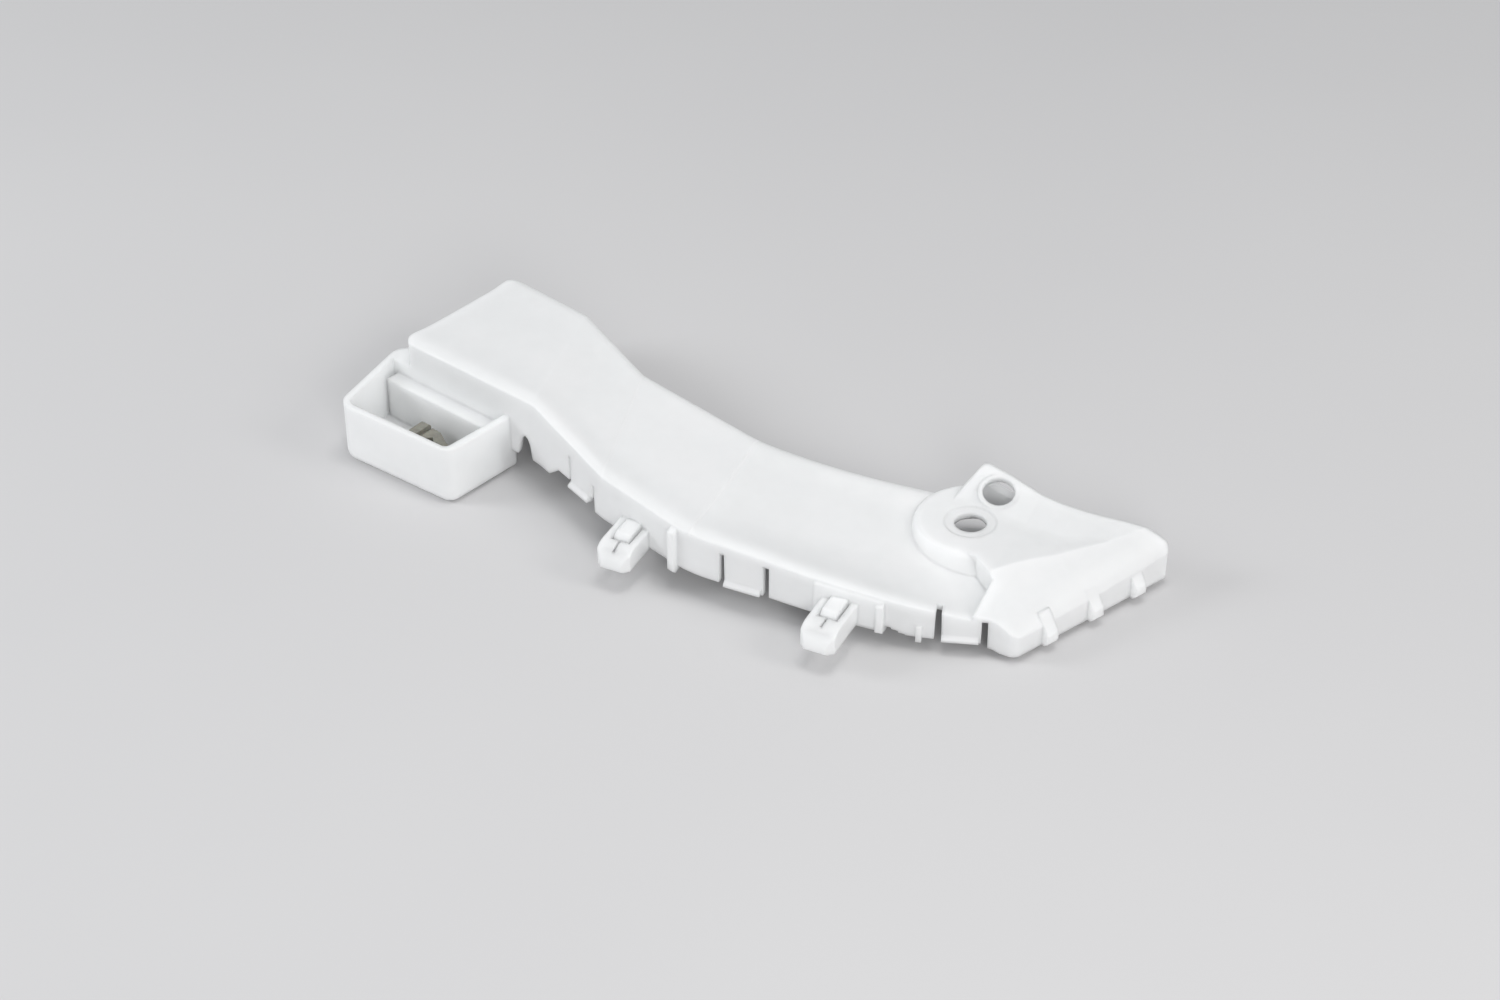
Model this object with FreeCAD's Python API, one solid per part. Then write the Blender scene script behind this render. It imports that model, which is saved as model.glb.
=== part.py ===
import FreeCAD
import Part
import math
import os
from FreeCAD import Placement, Rotation, Vector

# Bumper mounting bracket, moulded in one piece, with a small loose screw grommet in its tray.
# Sizes are in millimetres. +X runs along the arm away from the tray, +Y to the back, +Z up.
# The model is drawn up from the surface that it stands on, and then moved so that its origin is
# the centre of the screw hole in the round boss, on the face that a screw head seats on.

# Shell
wall = 2.2
tray_side_skirt_z = 8.0
wing_side_skirt_z = 2.0
plan_margin = 9.0
edge_round_width = 2.4
edge_round_fall = 1.0

# Heights of the top face along its front and back edges
head_z = 31.0
crease_1_front_z = 25.5
crease_1_back_z = 27.0
crease_2_front_z = 23.4
crease_2_back_z = 24.8
arm_front_z = 20.6
arm_back_z = 19.2
hollow_front_z = 15.8
hollow_back_z = 15.6

# Plan points of the front edge, from the tray end to the wing
head_front = (-196.5, -4.5)
jog_front = (-141.0, -18.4)
crease_1_front = (-107.0, -36.4)
crease_2_front = (-71.0, -48.8)
arm_front = (-13.0, -48.2)
wing_front = (22.0, -36.2)
wing_corner = (30.0, -36.6)
wing_tip = (57.6, 22.0)

# Plan points of the back edge
tab_foot = (26.0, 17.4)
tab_peak = (-3.75, 22.0)
boss_back = (-13.0, 13.6)
arm_back = (-35.4, 7.6)
crease_2_back = (-73.0, 3.2)
crease_1_back = (-120.5, 17.0)
jog_back = (-150.5, 34.8)
head_back = (-183.5, 45.0)

# Screw boss
boss_z = 18.3
boss_centre = (0.5, 2.0)
boss_top_radius = 18.4
boss_flare = 1.8
boss_foot_radius = boss_top_radius + boss_flare
boss_foot_z = 11.0
boss_edge_round = 1.8
boss_hole_radius = 5.0
seat_radius = 8.0
seat_depth = 0.4
seat_thickness = 2.8

# Tab at the back of the wing with its slanted screw hole
tab_peak_z = 25.4
tab_hole_radius = 5.0
tab_hole_centre = (3.4, 14.1, 21.3)
tab_hole_length = 2.4
tab_pad_radius = 6.4
tab_lean_front = 21.0
tab_lean_right = 7.4

# Open tray at the end of the head: plan points of its walls, then its heights
tray_left_x = -204.6
tray_back_left = (-189.0, 9.5)
tray_back_corner_y = 3.4
tray_front_left_y = -33.2
tray_front_right = (-158.8, -41.6)
tray_right_foot = (-150.2, -11.5)
tray_right_end = (-150.6, 0.0)
tray_left_round = 6.4
tray_front_round = 4.4
tray_rim_z = 21.0
tray_bottom_round = 3.2
ledge_z = 16.5
ledge_depth = 5.3
ledge_gap_reach = 4.0

# Snap prongs, ribs and slots of the front skirt
prong_width = 11.0
prong_height = 7.0
prong_reach = 16.4
prong_nose_round = 6.0
prong_wall = 1.8
tongue_width = 5.0
tongue_slit = 0.9
tongue_length = 9.0
tongue_rise = 1.3
prong_1_x = -93.2
prong_1_z = 7.6
prong_2_x = -21.5
prong_2_z = 7.0
prong_2_extra_reach = 2.0

# Upright ribs of the front skirt: x, width, how far they stand out, foot z, top z
RIBS = [
    (-76.8, 2.6, 2.0, 6.2, 23.0),
    (-9.6, 2.4, 1.8, 4.7, 16.6),
]

# Flat pads on the front skirt: x, width, how far they stand out, foot z
pad_top_gap = 0.5
PADS = [
    (-19.4, 20.8, 0.7, 6.2),
]

# Low cleat beside the wing: x, width, how far it stands out, foot z, top z
CLEAT = (1.8, 1.8, 0.8, 3.4, 9.0)

# Lips at the foot of the skirt's tabs: x, width, foot z
lip_reach = 1.3
HOOKS = [
    (-117.8, 9.8, 11.0),
    (-53.0, 11.8, 7.8),
    (13.6, 10.8, 4.8),
]

# Slits of the front skirt: x, width, top z, how much wider each side gets at the foot
SLOTS = [
    (-123.2, 1.1, 21.5, 0.0),
    (-111.8, 1.3, 18.2, 0.3),
    (-60.0, 1.5, 18.8, 0.5),
    (-45.4, 2.0, 18.4, 0.0),
    (7.2, 1.7, 16.0, 0.5),
    (20.2, 1.8, 12.3, 0.2),
]

# Saw steps of the skirt's lower edge: first x, z there, last x, z there
ratchet_step_count = 3
RATCHETS = [
    (-136.0, 7.4, -132.4, 9.4),
    (-66.6, 6.7, -61.6, 8.2),
    (-8.3, 7.2, -2.2, 4.6),
]

# Teeth of the wing's end skirt: width, how proud they stand of the wing's slope, distances along it
tooth_width = 4.4
tooth_relief = 0.6
TEETH = [13.0, 31.6, 49.4]


def at(point, z=0.0):
    return Vector(point[0], point[1], z)


def corner_wire(corners, closed=True):
    """Straight runs through (x, y, radius) corners, each rounded by a tangent arc."""
    count = len(corners)
    starts, ends, arcs = {}, {}, {}
    for i, (x, y, radius) in enumerate(corners):
        here = Vector(x, y, 0)
        starts[i] = ends[i] = here
        if radius == 0 or (not closed and i in (0, count - 1)):
            continue
        before = Vector(*corners[i - 1][:2], 0) - here
        after = Vector(*corners[(i + 1) % count][:2], 0) - here
        before.normalize()
        after.normalize()
        half = before.getAngle(after) / 2
        reach = radius / math.tan(half)
        middle = (before + after).normalize() * (radius / math.sin(half) - radius)
        starts[i] = here + before * reach
        ends[i] = here + after * reach
        arcs[i] = Part.Arc(starts[i], here + middle, ends[i]).toShape()
    edges = []
    for i in range(count):
        if i in arcs:
            edges.append(arcs[i])
        if i < count - 1 or closed:
            edges.append(Part.LineSegment(ends[i], starts[(i + 1) % count]).toShape())
    return Part.Wire(edges)


def upright(wire, z0, z1):
    """A solid that stands on a closed plan outline, from z0 up to z1."""
    face = Part.Face(wire)
    face.translate(Vector(0, 0, z0))
    return face.extrude(Vector(0, 0, z1 - z0))


def plan_block(points, z0, z1):
    return upright(corner_wire([(x, y, 0) for x, y in points]), z0, z1)


def side_block(points, y0, y1):
    """A solid with an (x, z) outline, reaching from y0 to y1."""
    corners = [Vector(x, y0, z) for x, z in points]
    face = Part.Face(Part.makePolygon(corners + corners[:1]))
    return face.extrude(Vector(0, y1 - y0, 0))


FRONT_CORNERS = [
    (*jog_front, 22.0),
    (*crease_1_front, 26.0),
    (*crease_2_front, 40.0),
    (*arm_front, 170.0),
]

front_path = corner_wire([(*head_front, 0)] + FRONT_CORNERS + [(*wing_front, 0)], closed=False)


def on_front(x):
    """Point of the front edge at x, and its heading in degrees from +X."""
    found = []
    for px in (x - 0.05, x + 0.05):
        cutter = Part.makeLine(Vector(px, -80, 0), Vector(px, 20, 0))
        found.append(front_path.distToShape(cutter)[1][0][0])
    step = found[1] - found[0]
    return (found[0] + found[1]) * 0.5, math.degrees(math.atan2(step.y, step.x))


def front_placed(shape, x):
    """Moves a shape made at the origin to the skirt: its x along the edge, its y pointing inward."""
    point, heading = on_front(x)
    copy = shape.copy()
    copy.Placement = Placement(point, Rotation(Vector(0, 0, 1), heading)).multiply(copy.Placement)
    return copy


def bracket_outline():
    corners = [(*head_front, 3.0)] + FRONT_CORNERS
    corners += [(*wing_front, 6.0), (*wing_corner, 3.5), (*wing_tip, 1.6)]
    corners += [(*tab_foot, 60.0), (*tab_peak, 2.0), (*boss_back, 4.0), (*arm_back, 90.0)]
    corners += [(*crease_2_back, 20.0), (*crease_1_back, 14.0), (*jog_back, 14.0), (*head_back, 4.0)]
    return corner_wire(corners)


def inset(wire, distance):
    return Part.Face(wire).makeOffset2D(-distance).Wires[0]


def closed_section(points, floor=-20.0):
    curve = Part.BSplineCurve()
    curve.interpolate(points)
    first, last = points[0], points[-1]
    low_first = Vector(first.x, first.y, floor)
    low_last = Vector(last.x, last.y, floor)
    return Part.Wire([
        curve.toShape(),
        Part.LineSegment(last, low_last).toShape(),
        Part.LineSegment(low_last, low_first).toShape(),
        Part.LineSegment(low_first, first).toShape(),
    ])


def arm_section(front, back, front_z, back_z, sags, drop):
    """Profile across the arm: a shallow sag between two rounded edges, with a run-out past each edge."""
    across = at(back) - at(front)
    width = across.Length
    across.normalize()
    outside = edge_round_fall + plan_margin * 0.6
    profile = [
        (-plan_margin, outside),
        (0.0, edge_round_fall),
        (edge_round_width, 0.1),
        (width * 0.1 + edge_round_width, sags[0]),
        (width * 0.34, sags[1]),
        (width * 0.66, sags[2]),
        (width * 0.9 - edge_round_width, sags[2] * 0.45),
        (width - edge_round_width, 0.1),
        (width, edge_round_fall),
        (width + plan_margin, outside),
    ]
    points = []
    for distance, depth in profile:
        z = front_z + (back_z - front_z) * distance / width - depth - drop
        points.append(at(front, z) + across * distance)
    return closed_section(points)


def arm_under_top(drop=0.0):
    """Everything below the arm's top face: flat facets to the second crease, then one hollow."""
    head_sags = (0.2, 0.6, 0.6)
    arm_sags = (0.3, 0.8, 0.8)
    lead = at(head_front) - at(jog_front)
    lead.normalize()
    beyond_front = at(head_front) + lead * 12
    beyond_back = at(head_back) + lead * 12
    creased = [
        arm_section(beyond_front, beyond_back, head_z, head_z, head_sags, drop),
        arm_section(jog_front, jog_back, head_z, head_z, head_sags, drop),
        arm_section(crease_1_front, crease_1_back, crease_1_front_z, crease_1_back_z, arm_sags, drop),
        arm_section(crease_2_front, crease_2_back, crease_2_front_z, crease_2_back_z, arm_sags, drop),
    ]
    smooth = [
        creased[-1],
        arm_section((-34.8, -49.0), arm_back, arm_front_z, arm_back_z, (1.0, 3.6, 2.4), drop),
        arm_section((0.0, -45.0), (0.0, 14.0), hollow_front_z, hollow_back_z, (1.2, 3.2, 3.0), drop),
        arm_section((36.0, -34.0), (36.0, 14.0), 9.0, 12.0, (0.8, 2.4, 2.4), drop),
    ]
    return Part.makeLoft(creased, True, True).fuse(Part.makeLoft(smooth, True, False))


# The wing's slanted end edge runs from its corner to its tip, and its sections stand square to it
end_line = at(wing_tip) - at(wing_corner)
end_length = end_line.Length
end_line.normalize()
end_inward = Vector(-end_line.y, end_line.x, 0)

# Rows of the wing's dished top, square to X: x, lowest point y and z, radius, rise to front and to back
DISH_ROWS = [
    (-16.0, 7.0, boss_z, 8.0, 0.0, 28.0),
    (-4.0, 7.0, boss_z, 8.0, 0.0, 28.0),
    (4.5, 5.0, boss_z, 9.0, 0.0, 21.5),
    (15.6, 3.5, boss_z - 0.2, 13.0, 3.0, 11.5),
    (28.0, 3.0, boss_z, 16.0, 9.0, 7.0),
    (42.0, 10.0, boss_z + 0.2, 14.0, 12.0, 3.0),
    (62.0, 19.5, boss_z - 2.1, 10.0, 12.0, 5.0),
]

# Rows of the wing's outer slope, square to its end edge: distance along it, edge z, radius, foot and crest slope
SLOPE_ROWS = [
    (-16.0, 8.6, 18.0, 40.0, 8.0),
    (28.0, 9.4, 18.0, 62.0, 30.0),
    (72.0, 12.0, 8.0, 72.0, 34.0),
]


def turned(degrees, length):
    return length * math.cos(math.radians(degrees)), length * math.sin(math.radians(degrees))


def line_arc_line(place, first, last, centre, radius, start_angle, end_angle, floor=-25.0):
    """Closed profile: a run, a tangent arc and a run, then straight down. Places (across, z) with place()."""
    def on_circle(angle):
        dx, dz = turned(angle, radius)
        return centre[0] + dx, centre[1] + dz
    middle = on_circle((start_angle + end_angle) / 2)
    arc_start, arc_end = on_circle(start_angle), on_circle(end_angle)
    corners = [first, arc_start, middle, arc_end, last, (last[0], floor), (first[0], floor)]
    p = [place(*c) for c in corners]
    return Part.Wire([
        Part.LineSegment(p[0], p[1]).toShape(),
        Part.Arc(p[1], p[2], p[3]).toShape(),
        Part.LineSegment(p[3], p[4]).toShape(),
        Part.LineSegment(p[4], p[5]).toShape(),
        Part.LineSegment(p[5], p[6]).toShape(),
        Part.LineSegment(p[6], p[0]).toShape(),
    ])


def dish_section(row, thickness):
    x, low_y, low_z, radius, front_rise, back_rise = row
    centre = (low_y, low_z + radius)
    outer = radius + thickness
    start_angle, end_angle = -90.0 - front_rise, -90.0 + back_rise
    sx, sz = turned(start_angle, outer)
    ex, ez = turned(end_angle, outer)
    front_y, back_y = -70.0, 45.0
    first_z = centre[1] + sz + (centre[0] + sx - front_y) * math.tan(math.radians(front_rise))
    last_z = centre[1] + ez + (back_y - centre[0] - ex) * math.tan(math.radians(back_rise))
    return line_arc_line(lambda y, z: Vector(x, y, z), (front_y, first_z), (back_y, last_z),
                         centre, outer, start_angle, end_angle)


def slope_section(row, thickness):
    along, edge_z, radius, foot_slope, crest_slope = row
    base = at(wing_corner) + end_line * along
    dx, dz = turned(90.0 + foot_slope, radius)
    centre = (-dx, edge_z - dz)
    inner = radius - thickness
    start_angle, end_angle = 90.0 + foot_slope, 90.0 + crest_slope
    sx, sz = turned(start_angle, inner)
    ex, ez = turned(end_angle, inner)
    out, deep = -6.0, 62.0
    first_z = centre[1] + sz - (centre[0] + sx - out) * math.tan(math.radians(foot_slope))
    last_z = centre[1] + ez + (deep - centre[0] - ex) * math.tan(math.radians(crest_slope))
    return line_arc_line(lambda q, z: base + end_inward * q + Vector(0, 0, z), (out, first_z), (deep, last_z),
                         centre, inner, start_angle, end_angle)


def wing_under_top(thickness=0.0):
    dish = Part.makeLoft([dish_section(row, thickness) for row in DISH_ROWS], True, True)
    slope = Part.makeLoft([slope_section(row, thickness) for row in SLOPE_ROWS], True, True)
    return dish.common(slope)


def wing_region(shift):
    """Plan area of the wing, right of the step where it rises above the arm's hollow."""
    step = [(-9.0, 40.0), (-9.0, 6.5), (1.0, 2.0), (3.0, -14.6), (8.0, -15.4), (14.4, -21.0), (16.8, -23.4), (16.2, -60.0)]
    points = [(x + shift, y + shift * 0.3) for x, y in step]
    return plan_block(points + [(90.0, -60.0), (90.0, 40.0)], -30.0, 60.0)


def boss_revolve(profile):
    """Solid of revolution about the boss's own axis from (radius, z) points."""
    outline = [Vector(radius, 0, z) for radius, z in profile]
    face = Part.Face(Part.makePolygon(outline + outline[:1]))
    solid = face.revolve(Vector(0, 0, 0), Vector(0, 0, 1), 360)
    solid.translate(at(boss_centre))
    return solid


def outer_boss():
    """Drafted round boss with an eased upper edge."""
    ease = boss_edge_round
    return boss_revolve([
        (0.0, -2.0),
        (boss_foot_radius, -2.0),
        (boss_foot_radius, boss_foot_z),
        (boss_top_radius + 0.1, boss_z - ease),
        (boss_top_radius - ease * 0.3, boss_z - ease * 0.3),
        (boss_top_radius - ease, boss_z),
        (0.0, boss_z),
    ])


def inner_boss():
    top = boss_z - seat_thickness
    return boss_revolve([
        (0.0, -10.0),
        (boss_foot_radius - wall, -10.0),
        (boss_foot_radius - wall, boss_foot_z - wall),
        (boss_top_radius - wall, top),
        (0.0, top),
    ])


def under_skirt():
    """What lies below the skirt's lower edge, which falls from the tray side to the wing."""
    line = [
        (-230, tray_side_skirt_z),
        (-134, tray_side_skirt_z + 0.4),
        (-129, tray_side_skirt_z + 4.8),
        (-112, tray_side_skirt_z + 4.8),
        (-111.9, tray_side_skirt_z + 0.6),
        (-86, tray_side_skirt_z + 0.6),
        (-46, tray_side_skirt_z - 0.2),
        (-31, tray_side_skirt_z - 1.1),
        (-12, wing_side_skirt_z + 3.0),
        (19, wing_side_skirt_z + 2.4),
        (21, wing_side_skirt_z + 1.0),
        (25, wing_side_skirt_z),
        (90, wing_side_skirt_z),
    ]
    return side_block([(-230, -40)] + line + [(90, -40)], -100, 100)


def shell():
    outline = bracket_outline()
    plan = upright(outline, -5.0, 60.0)
    inner_plan = upright(inset(outline, wall), -30.0, 60.0)
    wing = wing_region(0.0)
    arm = plan.common(arm_under_top()).cut(wing)
    wing_solid = plan.common(wing_under_top()).common(wing)
    edge_x = tab_peak[0] - 0.4
    tab_edge = [(-9.0, boss_z), (edge_x, tab_peak_z), (edge_x, 60.0), (-40.0, 60.0), (-40.0, boss_z)]
    wing_solid = wing_solid.cut(side_block(tab_edge, 0.0, 50.0))
    solid = arm.fuse([wing_solid, outer_boss()])
    solid = solid.cut(under_skirt())
    arm_hollow = inner_plan.common(arm_under_top(wall)).cut(wing_region(5.0))
    wing_hollow = inner_plan.common(wing_under_top(wall)).common(wing_region(wall))
    solid = solid.cut([arm_hollow, wing_hollow, inner_boss()])
    return solid


def head_frame(along, out):
    """Plan point measured along the head's front wall from its left corner, and outward from it."""
    run = at(jog_front) - at(head_front)
    run.normalize()
    point = at(head_front) + run * along + Vector(run.y, -run.x, 0) * out
    return point.x, point.y


def tray_outline(shrink):
    corners = [
        (*tray_back_left, 0),
        (tray_left_x + shrink, tray_back_corner_y, tray_left_round - shrink),
        (tray_left_x + shrink, tray_front_left_y + shrink, tray_left_round - shrink),
        (tray_front_right[0] - shrink * 0.9, tray_front_right[1] + shrink, tray_front_round - shrink),
        (tray_right_foot[0] - shrink, tray_right_foot[1], 0),
        (tray_right_end[0] - shrink, tray_right_end[1], 0),
    ]
    return corner_wire(corners)


def tray():
    """Open tray with a step along its back; its floor, sides and step are one wall thick."""
    outer = upright(tray_outline(0.0), 0.0, tray_rim_z)
    low_edges = [e for e in outer.Edges if e.BoundBox.ZMax < 0.01]
    seen = [e for e in low_edges if e.BoundBox.YMin < -12.5 or e.BoundBox.XMin < -195.0]
    outer = outer.makeFillet(tray_bottom_round, seen)
    room = upright(tray_outline(wall), wall, tray_rim_z + wall)
    step_left = -ledge_gap_reach
    step = [head_frame(step_left, 0), head_frame(step_left, ledge_depth), head_frame(60, ledge_depth), head_frame(60, 0)]
    behind = [head_frame(-30, 0), head_frame(60, 0), head_frame(60, -40), head_frame(-30, -40)]
    room = room.cut([plan_block(step, -5.0, ledge_z), plan_block(behind, -5.0, 60.0)])
    channel_depth = ledge_depth - wall
    right_end = (at(tray_right_foot) - at(head_front)).Length - wall
    channel = [
        head_frame(step_left + wall, 0),
        head_frame(step_left + wall, channel_depth),
        head_frame(right_end, channel_depth),
        head_frame(right_end, 0),
    ]
    solid = outer.cut([room, plan_block(channel, -5.0, ledge_z - wall)])
    return solid


def slot(x, width, top_z, lean=0.0):
    """Upright slit through the skirt, open at the bottom."""
    half = width / 2
    outline = [(-half - lean, -3.0), (-half, top_z), (half, top_z), (half + lean, -3.0)]
    return front_placed(side_block(outline, -4.0, wall + 3.0), x)


def skirt_box(x, width, out, z0, z1):
    return front_placed(Part.makeBox(width, wall * 0.5 + out, z1 - z0, Vector(-width / 2, -out, z0)), x)


def rib(x, width, out, z0, z1):
    """Upright rib on the skirt with a pointed foot and a sloped top."""
    profile = [
        Vector(0, wall * 0.5, z0 + 1.2),
        Vector(0, -out * 0.4, z0),
        Vector(0, -out, z0 + 0.8),
        Vector(0, -out, z1 - out),
        Vector(0, wall * 0.5, z1),
    ]
    face = Part.Face(Part.makePolygon(profile + profile[:1]))
    solid = face.extrude(Vector(width, 0, 0))
    solid.translate(Vector(-width / 2, 0, 0))
    return front_placed(solid, x)


def hook(x, width, z):
    """Foot of a skirt tab: a small lip turned outward, longer towards the tray."""
    profile = [
        Vector(0, wall * 0.6, z),
        Vector(0, -lip_reach, z),
        Vector(0, -lip_reach, z + 0.9),
        Vector(0, wall * 0.6, z + 3.0),
    ]
    face = Part.Face(Part.makePolygon(profile + profile[:1]))
    solid = face.extrude(Vector(width + 1.4, 0, 0))
    solid.translate(Vector(-width / 2 - 1.4, 0, 0))
    return front_placed(solid, x)


def pad(x, width, out, z0):
    """Flat pad on the skirt that ends just below the arm's top face."""
    return skirt_box(x, width, out, z0, head_z).common(arm_under_top(pad_top_gap))


def ratchet(x0, z0, x1, z1):
    """Cutter for saw steps: each runs at a slant, then jumps to the start of the next one."""
    pitch = (x1 - x0) / ratchet_step_count
    rise = (z1 - z0) / ratchet_step_count
    points = [(x0, -20.0), (x0, z0)]
    for i in range(ratchet_step_count):
        points.append((x0 + pitch * (i + 1), z0 + rise * (i + 0.4)))
        points.append((x0 + pitch * (i + 1), z0 + rise * (i + 1)))
    points.append((x1, -20.0))
    return side_block(points, -100.0, -20.0)


def prong(x, z, reach):
    """Snap prong: a hollow round-nosed box reaching forward, with a sprung tongue in its top."""
    root = on_front(x)[0].y
    tip = root - reach
    top = z + prong_height
    nose = prong_nose_round
    slant = math.sqrt(0.5)
    shoulder = Vector(0, tip + nose, top)
    cheek = Vector(0, tip + nose - nose * slant, top - nose + nose * slant)
    front = Vector(0, tip, top - nose)
    floor = [Vector(0, tip, z + 0.5), Vector(0, tip + 0.6, z), Vector(0, root + wall * 0.8, z)]
    back = Vector(0, root + wall * 0.8, top)
    wire = Part.Wire([
        Part.Arc(shoulder, cheek, front).toShape(),
        Part.makePolygon([front] + floor + [back, shoulder]),
    ])
    box = Part.Face(wire).extrude(Vector(prong_width, 0, 0))
    box.translate(Vector(x - prong_width / 2, 0, 0))
    chamfer = 2.2
    for side in (-1, 1):
        edge = x + side * prong_width / 2
        corner = [(edge + side, tip - 1), (edge + side, tip + chamfer), (edge, tip + chamfer),
                  (edge - side * chamfer, tip), (edge - side * chamfer, tip - 1)]
        box = box.cut(plan_block(corner, z - 1, top + 1))
    inner = prong_width - 2 * prong_wall
    pocket = Part.makeBox(inner, reach - 3.0, prong_height - prong_wall + 1, Vector(x - inner / 2, tip + 3.0, z - 1))
    box = box.cut(pocket)
    tongue_end = root - tongue_length
    cuts = []
    for side in (-1, 1):
        left = x + side * (tongue_width + tongue_slit) / 2 - tongue_slit / 2
        cuts.append(Part.makeBox(tongue_slit, tongue_length + 0.4, prong_height, Vector(left, tongue_end - 0.4, z + 1)))
    cuts.append(Part.makeBox(tongue_width + 2 * tongue_slit, tongue_slit, prong_height,
                             Vector(x - tongue_width / 2 - tongue_slit, tongue_end - tongue_slit, z + 1)))
    cuts.append(Part.makeBox(tongue_slit, 4.6, prong_height + 2,
                             Vector(x - tongue_slit / 2, tongue_end - tongue_slit - 4.2, z + 1)))
    box = box.cut(cuts)
    wedge = [
        Vector(0, root + 0.4, top - prong_wall),
        Vector(0, root + 0.4, top + tongue_rise * 0.7),
        Vector(0, root - 1.2, top + tongue_rise),
        Vector(0, tongue_end + 1.4, top + tongue_rise),
        Vector(0, tongue_end, top),
        Vector(0, tongue_end, top - prong_wall),
    ]
    block = Part.Face(Part.makePolygon(wedge + wedge[:1])).extrude(Vector(tongue_width, 0, 0))
    block.translate(Vector(x - tongue_width / 2, 0, 0))
    return box.fuse(block)


def tooth(along):
    """Wedge tooth on the wing's end skirt: it stands on the ground and narrows into the slope."""
    foot = wing_side_skirt_z
    profile = [(1.2, foot), (-1.0, foot), (-2.4, foot + 1.2), (-2.4, foot + 4.2), (1.7, foot + 10.4), (2.6, foot + 10.4)]
    base = at(wing_corner) + end_line * along
    low = [base + end_inward * q + Vector(0, 0, z) for q, z in profile]
    face = Part.Face(Part.makePolygon(low + low[:1]))
    solid = face.extrude(end_line * tooth_width)
    solid.translate(end_line * (-tooth_width / 2))
    return solid.common(wing_under_top(-tooth_relief))


def tab_cylinder(radius, start, end):
    """Cylinder on the tab hole's slanted axis, between two distances above the tab's face."""
    axis = Vector(math.tan(math.radians(tab_lean_right)), -math.tan(math.radians(tab_lean_front)), 1.0)
    axis.normalize()
    return Part.makeCylinder(radius, end - start, Vector(*tab_hole_centre) + axis * start, axis)


def with_holes(solid):
    """Boss hole in its round seat, and tab hole square through a flat round pad as thick as it is long."""
    depth = tab_hole_length
    solid = solid.cut([tab_cylinder(tab_pad_radius, 0.0, 3.0), tab_cylinder(tab_pad_radius, -depth - 3.0, -depth)])
    solid = solid.fuse(tab_cylinder(tab_pad_radius, -depth, 0.0))
    hole = Part.makeCylinder(boss_hole_radius, 60, Vector(0, 0, -10))
    spot = Part.makeCylinder(seat_radius, 10, Vector(0, 0, boss_z - seat_depth))
    return solid.cut([hole, spot, tab_cylinder(tab_hole_radius, -depth - 3.0, 4.0)])


def arch():
    """Round-topped notch in the head's front wall beside the tray."""
    outline = [(-150.0, -10.0), (-149.0, 6.0), (-147.2, 13.6), (-146.2, 15.6), (-145.0, 16.4),
               (-143.9, 15.6), (-143.1, 13.6), (-142.2, 8.2), (-141.6, -10.0)]
    return side_block(outline, -30.0, -10.0)


def grommet():
    """Nylon screw grommet lying on its side: flange, neck and a tapered shank with a latch window."""
    flange_length, flange_width, flange_height = 3.2, 11.0, 9.4
    neck_length, neck_size = 1.5, 6.4
    shank_length = 9.6
    flange = Part.makeBox(flange_length, flange_width, flange_height, Vector(0, -flange_width / 2, 0))
    flange = flange.makeFillet(1.1, [e for e in flange.Edges if abs(e.BoundBox.XLength - flange_length) < 0.01])
    middle = flange_height / 2
    neck = Part.makeBox(neck_length + 0.4, neck_size, neck_size,
                        Vector(flange_length - 0.2, -neck_size / 2, middle - neck_size / 2))
    start = flange_length + neck_length

    def square(x, width, low, high):
        return Part.makePolygon([Vector(x, -width / 2, low), Vector(x, width / 2, low), Vector(x, width / 2, high),
                                 Vector(x, -width / 2, high), Vector(x, -width / 2, low)])
    wires = [square(start, 9.4, 0.0, 8.8), square(start + 3.6, 9.0, 0.0, 8.6), square(start + shank_length, 4.2, 1.8, 6.2)]
    shank = Part.makeLoft(wires, True, True)
    solid = flange.fuse([neck, shank])
    bore = Part.makeCylinder(1.9, 40, Vector(-5, 0, middle), Vector(1, 0, 0))
    window = Part.makeBox(2.9, 2.9, 20, Vector(-1.45, -1.45, 2.0))
    window.rotate(Vector(0, 0, 0), Vector(0, 0, 1), 45)
    window.translate(Vector(start + 3.4, -1.0, 0))
    slit = Part.makeBox(20, 30, 1.2, Vector(start + 4.6, -15, middle - 0.6))
    solid = solid.cut([bore, window, slit])
    solid.rotate(Vector(0, 0, 0), Vector(0, 0, 1), -12.0)
    solid.translate(Vector(-183.6, -23.4, wall))
    return solid


def bracket():
    solid = shell()
    inside = upright(inset(bracket_outline(), wall), -30.0, head_z - wall - 1.0)
    solid = solid.cut(arch())
    solid = solid.fuse(tray().cut(inside))
    solid = solid.fuse([rib(*values) for values in RIBS] + [skirt_box(*CLEAT)] + [hook(*values) for values in HOOKS])
    solid = solid.fuse([pad(*values) for values in PADS])
    solid = solid.cut([slot(*values) for values in SLOTS] + [ratchet(*values) for values in RATCHETS])
    solid = solid.fuse([
        prong(prong_1_x, prong_1_z, prong_reach),
        prong(prong_2_x, prong_2_z, prong_reach + prong_2_extra_reach),
    ])
    solid = solid.fuse([tooth(along) for along in TEETH])
    return with_holes(solid).removeSplitter()


NODES = {"bracket": bracket, "grommet": grommet}

os.makedirs("parts", exist_ok=True)
for name, make in NODES.items():
    shape = make()
    shape.translate(Vector(0, 0, seat_depth - boss_z))
    print(name, "valid", shape.isValid(), "solids", len(shape.Solids), "volume", round(shape.Volume))
    shape.exportStep("parts/" + name + ".step")
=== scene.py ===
# %% [markdown]
# # A bumper mounting bracket in milky polypropylene
#
# This lesson dresses a finished CAD part for a product photograph. The part is one long moulding,
# with an open tray at one end and two screw holes at the other. A small grey nylon grommet lies
# loose in the tray. Each step below is one short cell. Lengths are in metres.

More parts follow.
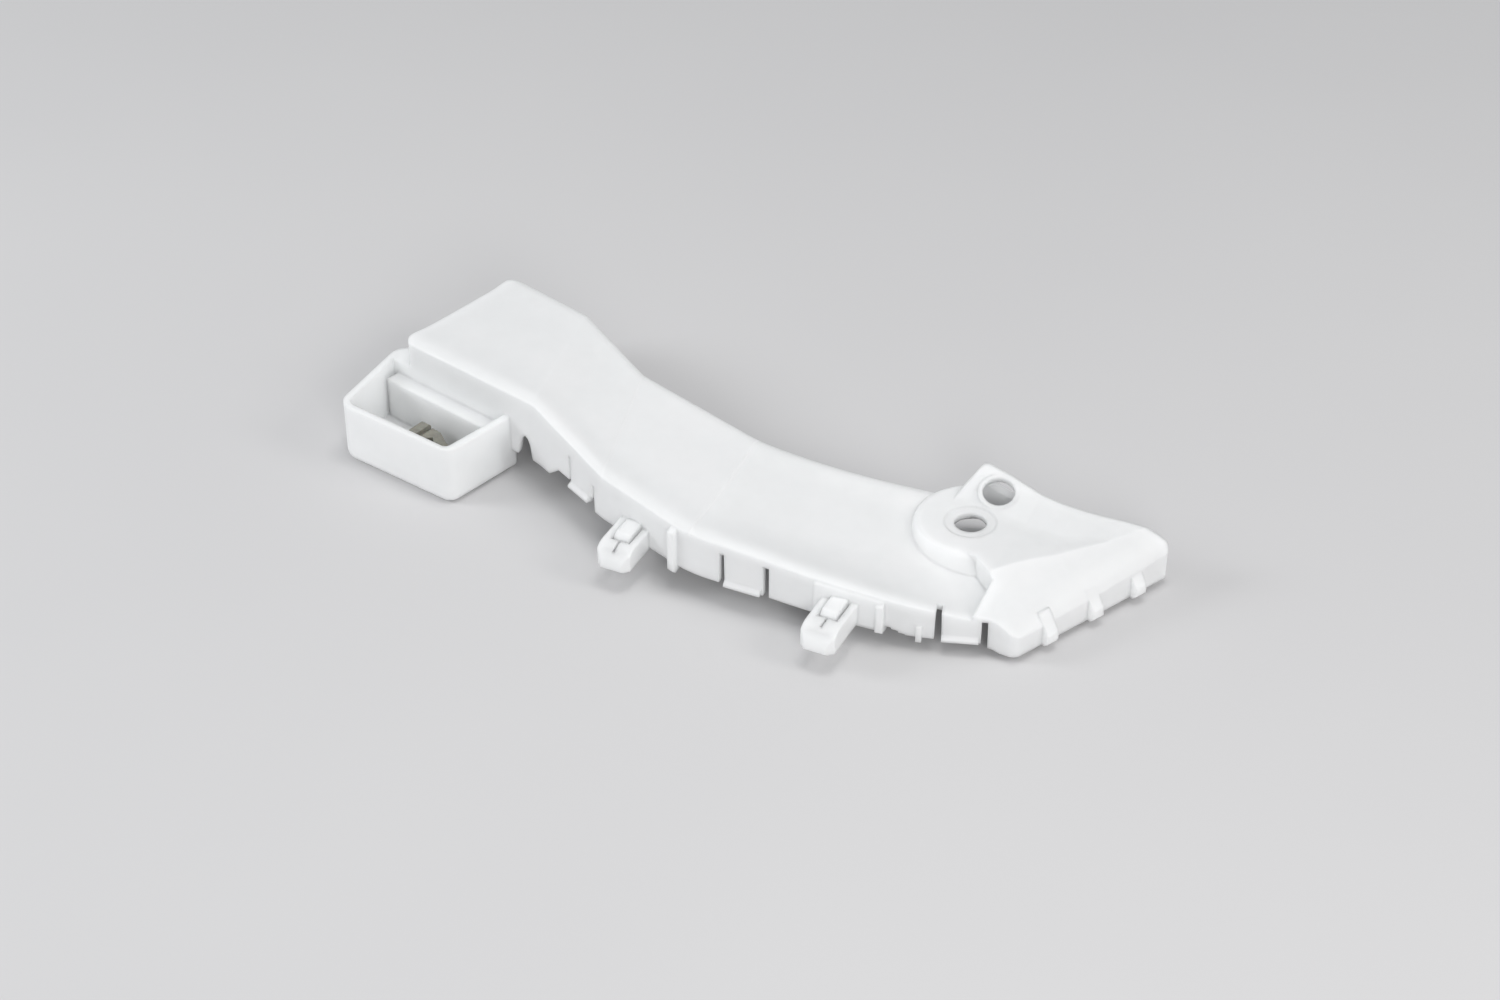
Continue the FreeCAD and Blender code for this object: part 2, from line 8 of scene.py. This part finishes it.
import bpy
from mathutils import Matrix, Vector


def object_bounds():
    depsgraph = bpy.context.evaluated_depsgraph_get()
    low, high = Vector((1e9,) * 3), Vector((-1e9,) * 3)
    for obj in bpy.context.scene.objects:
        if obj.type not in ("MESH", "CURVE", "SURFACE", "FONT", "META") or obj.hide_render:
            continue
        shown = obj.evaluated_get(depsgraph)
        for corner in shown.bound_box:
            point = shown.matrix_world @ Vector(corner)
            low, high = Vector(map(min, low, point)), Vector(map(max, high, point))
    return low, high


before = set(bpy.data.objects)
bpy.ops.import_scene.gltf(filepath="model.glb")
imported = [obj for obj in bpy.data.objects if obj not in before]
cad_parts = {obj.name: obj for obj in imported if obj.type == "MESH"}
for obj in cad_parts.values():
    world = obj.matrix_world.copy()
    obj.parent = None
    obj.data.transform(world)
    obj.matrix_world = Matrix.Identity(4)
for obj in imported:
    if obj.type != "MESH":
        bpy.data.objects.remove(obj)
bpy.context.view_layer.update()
print("nodes:", sorted(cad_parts))

# %% [markdown]
# ## Tools for the steps that follow
#
# Colours are easiest to read off a photograph as sRGB hex codes, but shaders work in linear light,
# so one function turns the first into the second. A noise pattern is easiest to picture by how wide
# its blobs are, so another turns millimetres into the scale that the pattern wants. A third adds a
# shader node, sets it up and links it in a single call.

# %% Helpers
import math

import bpy
from mathutils import Vector

MM = 0.001


def linear(code):
    """sRGB hex code to linear RGBA."""
    parts = [int(code[i:i + 2], 16) / 255 for i in (1, 3, 5)]
    light = [c / 12.92 if c <= 0.04045 else ((c + 0.055) / 1.055) ** 2.4 for c in parts]
    return (*light, 1.0)


def blobs(width):
    """Scale of a noise pattern whose blobs are width millimetres wide."""
    return 1 / (width * MM)


def add(tree, kind, settings=None, values=None, links=None):
    """Adds a node: settings are its properties, values its sockets, links what feeds each."""
    node = tree.nodes.new("ShaderNode" + kind)
    for name, value in (settings or {}).items():
        setattr(node, name, value)
    for name, value in (values or {}).items():
        node.inputs[name].default_value = value
    for name, socket in (links or {}).items():
        tree.links.new(socket, node.inputs[name])
    return node


# %% [markdown]
# ## An empty material
#
# All three materials start alike: a Principled shader wired to the output. Two small functions
# finish them. One sets the two ends of a colour ramp, the other sets the shader's own sockets and
# links.

# %% Material tools
def new_material(name):
    """An empty material with a Principled shader wired to its output."""
    material = bpy.data.materials.new(name)
    material.use_nodes = True
    tree = material.node_tree
    tree.nodes.clear()
    shader = add(tree, "BsdfPrincipled")
    add(tree, "OutputMaterial", links={"Surface": shader.outputs[0]})
    return material, tree, shader


def set_stops(ramp, *stops):
    """Gives the ramp's two ends a position and a hex colour each."""
    for end, (position, code) in zip(ramp.color_ramp.elements, stops):
        end.position, end.color = position, linear(code)


def set_shader(tree, shader, values, links):
    """Sets the shader's sockets: plain values first, then what feeds each patterned one."""
    for name, value in values.items():
        shader.inputs[name].default_value = value
    for name, socket in links.items():
        tree.links.new(socket, shader.inputs[name])


# %% [markdown]
# ## Witness lines
#
# Where the arm's flat faces meet, the mould left a fine raised line. Each one lies in an upright
# plane through two points of the top. The distance from that plane, compared with half the line's
# width, gives a soft mask, and a second test keeps the mask to the top face, above the skirt.

# %% Witness line mask
FADE_HEIGHT = 1.0


def witness_line(tree, place, start, end, half_width, low_z):
    """Mask that is 1 on the plane through two plan points, fading over half_width (all in mm)."""
    run = (Vector(end) - Vector(start)).normalized()
    side = Vector((-run.y, run.x, 0.0))
    off = Vector((*start, 0.0)).dot(side) * MM
    along = add(tree, "VectorMath", {"operation": "DOT_PRODUCT"}, {1: side}, {0: place})
    gap = add(tree, "Math", {"operation": "SUBTRACT"}, {1: off}, {0: along.outputs["Value"]})
    away = add(tree, "Math", {"operation": "ABSOLUTE"}, links={0: gap.outputs[0]})
    near = add(tree, "MapRange", {"interpolation_type": "SMOOTHSTEP"},
               {"From Max": half_width * MM, "To Min": 1.0, "To Max": 0.0},
               {"Value": away.outputs[0]})
    above = add(tree, "MapRange",
                values={"From Min": low_z * MM, "From Max": (low_z + FADE_HEIGHT) * MM},
                links={"Value": add(tree, "SeparateXYZ", links={0: place}).outputs["Z"]})
    mask = add(tree, "Math", {"operation": "MULTIPLY"},
               links={0: near.outputs[0], 1: above.outputs[0]})
    return mask.outputs[0]


# %% [markdown]
# The part has two such lines. The one beside the head is fainter than the one down the arm.

# %% Both lines as one mask
HEAD_LINE = {"start": (-107.0, -36.4), "end": (-120.5, 17.0), "half_width": 0.7, "low_z": 5.0}
ARM_LINE = {"start": (-71.0, -48.8), "end": (-73.0, 3.2), "half_width": 0.6, "low_z": 3.6}
HEAD_LINE_STRENGTH = 0.4


def both_lines(tree, place):
    """The stronger of the two lines' masks at each point."""
    head_line = witness_line(tree, place, **HEAD_LINE)
    arm_line = witness_line(tree, place, **ARM_LINE)
    fainter = add(tree, "Math", {"operation": "MULTIPLY"},
                  {1: HEAD_LINE_STRENGTH}, {0: head_line})
    both = add(tree, "Math", {"operation": "MAXIMUM"}, links={0: fainter.outputs[0], 1: arm_line})
    return both.outputs[0]


print("witness lines in mm:", HEAD_LINE, ARM_LINE)

# %% [markdown]
# ## Milky polypropylene
#
# Polypropylene without pigment looks like thin milk: light enters, scatters about and comes out a
# few millimetres away. Subsurface scattering gives that glow. Its index of refraction is 1.49.
# Three patterns keep the surface from looking like plaster: a fine spark-eroded grain of the mould,
# slow waves where the plastic shrank, and a change of tone and gloss where it flowed. A real grain is
# finer than the one here, which is drawn coarser so that it can show at all. The witness lines stand
# up a little and carry a painted highlight. A Bevel node softens the small edges.

# %% Polypropylene material
GRAIN, SHRINK_WAVE, FLOW_MARK = 0.41667, 23.81, 38.4615
EDGE_ROUND = 1.2
LIGHT_TRAVEL = 4.0


def polypropylene():
    material, tree, shader = new_material("polypropylene_natural_moulded")
    place = add(tree, "TexCoord").outputs["Object"]
    lines = both_lines(tree, place)
    grain = add(tree, "TexNoise", values={"Scale": blobs(GRAIN), "Detail": 2.0},
                links={"Vector": place})
    sink = add(tree, "TexNoise", values={"Scale": blobs(SHRINK_WAVE), "Detail": 1.0},
               links={"Vector": place})
    flow = add(tree, "TexNoise",
               values={"Scale": blobs(FLOW_MARK), "Detail": 4.0, "Roughness": 0.6},
               links={"Vector": place})
    tint = add(tree, "ValToRGB", links={"Fac": flow.outputs["Fac"]})
    set_stops(tint, (0.35, "#f1f2f2"), (0.65, "#f7f8f8"))
    # Painted highlight: a lighter colour is mixed in along the witness lines to brighten them.
    line_highlight = add(tree, "MixRGB", values={"Color2": linear("#fcfdfd")},
                 links={"Fac": lines, "Color1": tint.outputs["Color"]})
    gloss = add(tree, "MapRange", values={"To Min": 0.34, "To Max": 0.48},
                links={"Value": flow.outputs["Fac"]})
    edge = add(tree, "Bevel", {"samples": 8}, {"Radius": EDGE_ROUND * MM})
    waves = add(tree, "Bump", values={"Strength": 0.25, "Distance": 0.25 * MM},
                links={"Height": sink.outputs["Fac"], "Normal": edge.outputs[0]})
    ridge = add(tree, "Bump", values={"Strength": 0.35, "Distance": 0.25 * MM},
                links={"Height": lines, "Normal": waves.outputs[0]})
    skin = add(tree, "Bump", values={"Strength": 0.12, "Distance": 0.03 * MM},
               links={"Height": grain.outputs["Fac"], "Normal": ridge.outputs[0]})
    set_shader(tree, shader,
               {"IOR": 1.49, "Subsurface Weight": 1.0, "Subsurface Radius": (1.0, 1.0, 1.0),
                "Subsurface Scale": LIGHT_TRAVEL * MM},
               {"Base Color": line_highlight.outputs[0], "Roughness": gloss.outputs[0],
                "Normal": skin.outputs[0]})
    return material


# %% [markdown]
# ## Grey nylon
#
# The grommet is nylon coloured a warm grey. It is a little rougher than the bracket and hardly
# lets light through. Handling leaves small lighter rubs, which a noise pattern of 2 mm imitates.

# %% Nylon material
RUB = 2.0
NYLON_EDGE_ROUND = 0.35
NYLON_LIGHT_TRAVEL = 0.6


def nylon():
    material, tree, shader = new_material("nylon_grey_moulded")
    place = add(tree, "TexCoord").outputs["Object"]
    rubs = add(tree, "TexNoise", values={"Scale": blobs(RUB), "Detail": 3.0},
               links={"Vector": place}).outputs["Fac"]
    tint = add(tree, "ValToRGB", links={"Fac": rubs})
    set_stops(tint, (0.4, "#84827a"), (0.7, "#989689"))
    gloss = add(tree, "MapRange", values={"To Min": 0.42, "To Max": 0.6}, links={"Value": rubs})
    edge = add(tree, "Bevel", {"samples": 6}, {"Radius": NYLON_EDGE_ROUND * MM})
    skin = add(tree, "Bump", values={"Strength": 0.2, "Distance": 0.04 * MM},
               links={"Height": rubs, "Normal": edge.outputs[0]})
    set_shader(tree, shader,
               {"IOR": 1.53, "Subsurface Weight": 0.1,
                "Subsurface Scale": NYLON_LIGHT_TRAVEL * MM},
               {"Base Color": tint.outputs["Color"], "Roughness": gloss.outputs[0],
                "Normal": skin.outputs[0]})
    return material


# %% [markdown]
# ## Dressing the two pieces
#
# Each CAD node takes the material that it is made of. The meshes bring their own smooth normals
# from the CAD surfaces, so their shading is left alone.

# %% Assign materials
def dress(node, material):
    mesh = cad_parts[node].data
    mesh.materials.clear()
    mesh.materials.append(material)
    triangles = sum(len(face.vertices) - 2 for face in mesh.polygons)
    print(node, "wears", material.name, "on", triangles, "triangles")


dress("bracket", polypropylene())
dress("grommet", nylon())

# %% [markdown]
# ## The table
#
# The part lies on a sheet of pale grey card. Card is matt, a little uneven in tone, and has a
# fine tooth.

# %% Card material
CLOUD, TOOTH = 333.333, 0.66667


def card():
    material, tree, shader = new_material("card_pale_grey")
    place = add(tree, "TexCoord").outputs["Object"]
    cloud = add(tree, "TexNoise", values={"Scale": blobs(CLOUD), "Detail": 3.0},
                links={"Vector": place})
    tooth = add(tree, "TexNoise", values={"Scale": blobs(TOOTH), "Detail": 2.0},
                links={"Vector": place})
    tint = add(tree, "ValToRGB", links={"Fac": cloud.outputs["Fac"]})
    set_stops(tint, (0.0, "#d0cfd0"), (1.0, "#d9d8d8"))
    skin = add(tree, "Bump", values={"Strength": 0.15, "Distance": 0.05 * MM},
               links={"Height": tooth.outputs["Fac"]})
    set_shader(tree, shader, {"Roughness": 0.85},
               {"Base Color": tint.outputs["Color"], "Normal": skin.outputs[0]})
    return material


# %% [markdown]
# The sheet lies at the height of the part's lowest point, and is wide enough to fill the picture.

# %% Floor
TABLE_SIZE = 6.0
low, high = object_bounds()

bpy.ops.mesh.primitive_plane_add(size=TABLE_SIZE, location=(0, 0, low.z))
floor = bpy.context.object
floor.name = "table"
floor.data.materials.append(card())
print("floor z in mm:", round(low.z * 1000, 2))

# %% [markdown]
# ## Light
#
# The photograph has almost no deep shade, even inside the tray, so about half of the light comes
# evenly from the white walls of a light tent. Four soft boxes bring the rest and add some shape: the
# strongest from above, one from the right, and two that light the upright walls. Each box is set by
# the share of light that it brings to the table, where a white card gets a brightness of 1 from a
# total share of 1. The shares were found by comparing tones, so they are a good match, not a record
# of how the photograph was lit.

# %% Soft boxes
BOX_SIZE, BOX_DISTANCE = 0.35, 1.1
scene = bpy.context.scene
middle = (low + high) / 2


def aim(thing, way):
    """Turns a lamp or camera to look along way, keeping it upright."""
    thing.rotation_euler = way.to_track_quat("-Z", "Y").to_euler()
    scene.collection.objects.link(thing)


def soft_box(name, turn, height, share, colour):
    """Square lamp aimed at the part: turn in degrees from +X, height in degrees above the table."""
    turn, height = math.radians(turn), math.radians(height)
    way = Vector((math.cos(turn) * math.cos(height), math.sin(turn) * math.cos(height),
                  math.sin(height)))
    lamp = bpy.data.lights.new(name, "AREA")
    lamp.shape, lamp.size, lamp.color = "SQUARE", BOX_SIZE, linear(colour)[:3]
    lamp.energy = share * math.pi ** 2 * BOX_DISTANCE ** 2 / math.sin(height)
    thing = bpy.data.objects.new(name, lamp)
    thing.location = middle + way * BOX_DISTANCE
    aim(thing, -way)
    print(name, "watts:", round(lamp.energy, 1))


soft_box("box_above", 20.0, 84.0, 0.20, "#ffffff")
soft_box("box_right", 3.0, 34.0, 0.09, "#fffdfb")
soft_box("box_left", 205.0, 28.0, 0.13, "#fbfdff")
soft_box("box_front", -55.0, 26.0, 0.12, "#ffffff")

# %% [markdown]
# The tent itself is an even, very slightly cool world. It brings about half of all the light.

# %% Tent
TENT_SHARE = 0.52

world = bpy.data.worlds.new("studio")
scene.world = world
world.use_nodes = True
tent = world.node_tree.nodes["Background"]
tent.inputs["Color"].default_value = linear("#f4f6f8")
tent.inputs["Strength"].default_value = TENT_SHARE
print("tent share:", TENT_SHARE)

# %% [markdown]
# ## Camera
#
# The photograph looks at the part from the front right. A lens of 70 mm, 36 degrees above the table,
# is an estimate: it makes the corners of the head and the tray square, but a shorter lens held a
# little higher does that about as well.

# %% Camera
CAMERA_PLACE = (0.251707, -0.668430, 0.525001)
CAMERA_TURN, CAMERA_TILT = math.radians(26.0), math.radians(36.0)

lens = bpy.data.cameras.new("camera")
lens.lens, lens.sensor_width = 70.0, 36.0
camera = bpy.data.objects.new("camera", lens)
camera.location = CAMERA_PLACE
aim(camera, Vector((-math.sin(CAMERA_TURN) * math.cos(CAMERA_TILT),
                    math.cos(CAMERA_TURN) * math.cos(CAMERA_TILT), -math.sin(CAMERA_TILT))))
scene.camera = camera
print("camera at:", CAMERA_PLACE)

# %% [markdown]
# ## Tone
#
# The standard view transform keeps whites white, as the camera that took the photograph did.

# %% View settings
scene.view_settings.view_transform = "Standard"
scene.view_settings.exposure = 0.0
print("view transform:", scene.view_settings.view_transform)
